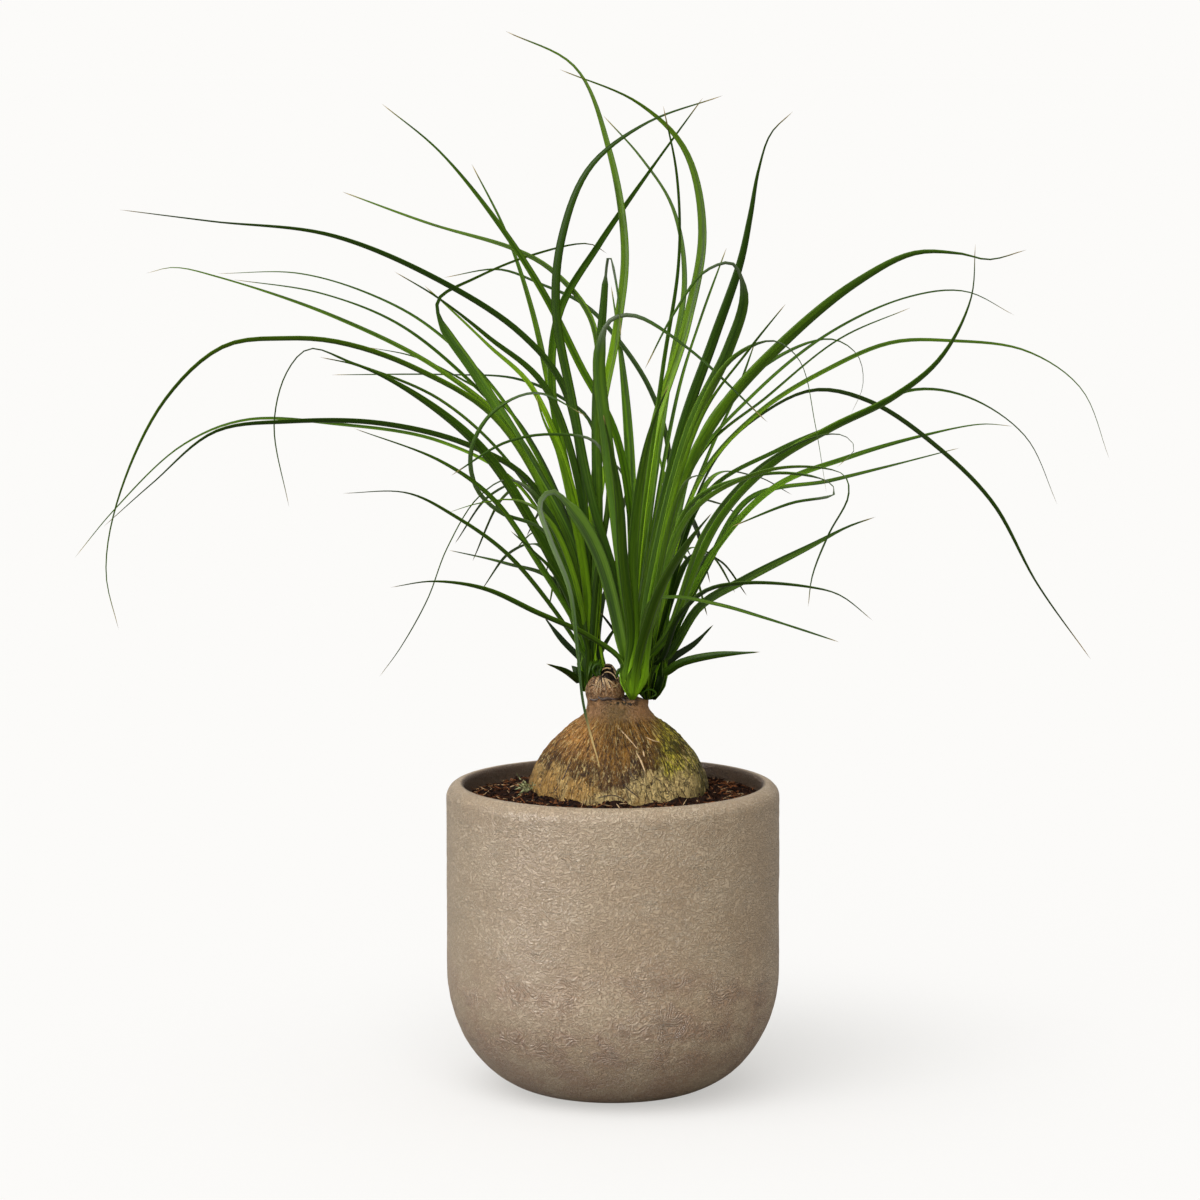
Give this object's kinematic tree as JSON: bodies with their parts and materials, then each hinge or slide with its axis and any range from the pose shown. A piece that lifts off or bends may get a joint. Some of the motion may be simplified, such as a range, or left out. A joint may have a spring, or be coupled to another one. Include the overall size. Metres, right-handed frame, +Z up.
{
  "type": "potted ponytail palm",
  "caption": "Ponytail palm with a swollen stem base and heads of long, narrow, arching leaves, standing in soil in a round matte pot with a rounded foot.",
  "frame": {"origin": "centre of the pot's flat foot, on the surface that the pot stands on", "axes": "+Z up, the pictured front towards -Y, +X to the viewer's right"},
  "size_m": [0.5347, 0.3664, 0.5383],
  "materials": {
    "pot": "matte taupe, finely wrinkled",
    "soil": "loose dark potting soil with bark fibres",
    "bark": "dry cracked bark, golden brown with moss green patches",
    "leaf": "satin green, finely striped along the blade"
  },
  "bodies": {
    "root": {"pot": "pot", "soil": "soil", "caudex": "bark", "left_head_leaves": "leaf", "front_head_leaves": "leaf", "back_head_leaves": "leaf"}
  },
  "joints": []
}
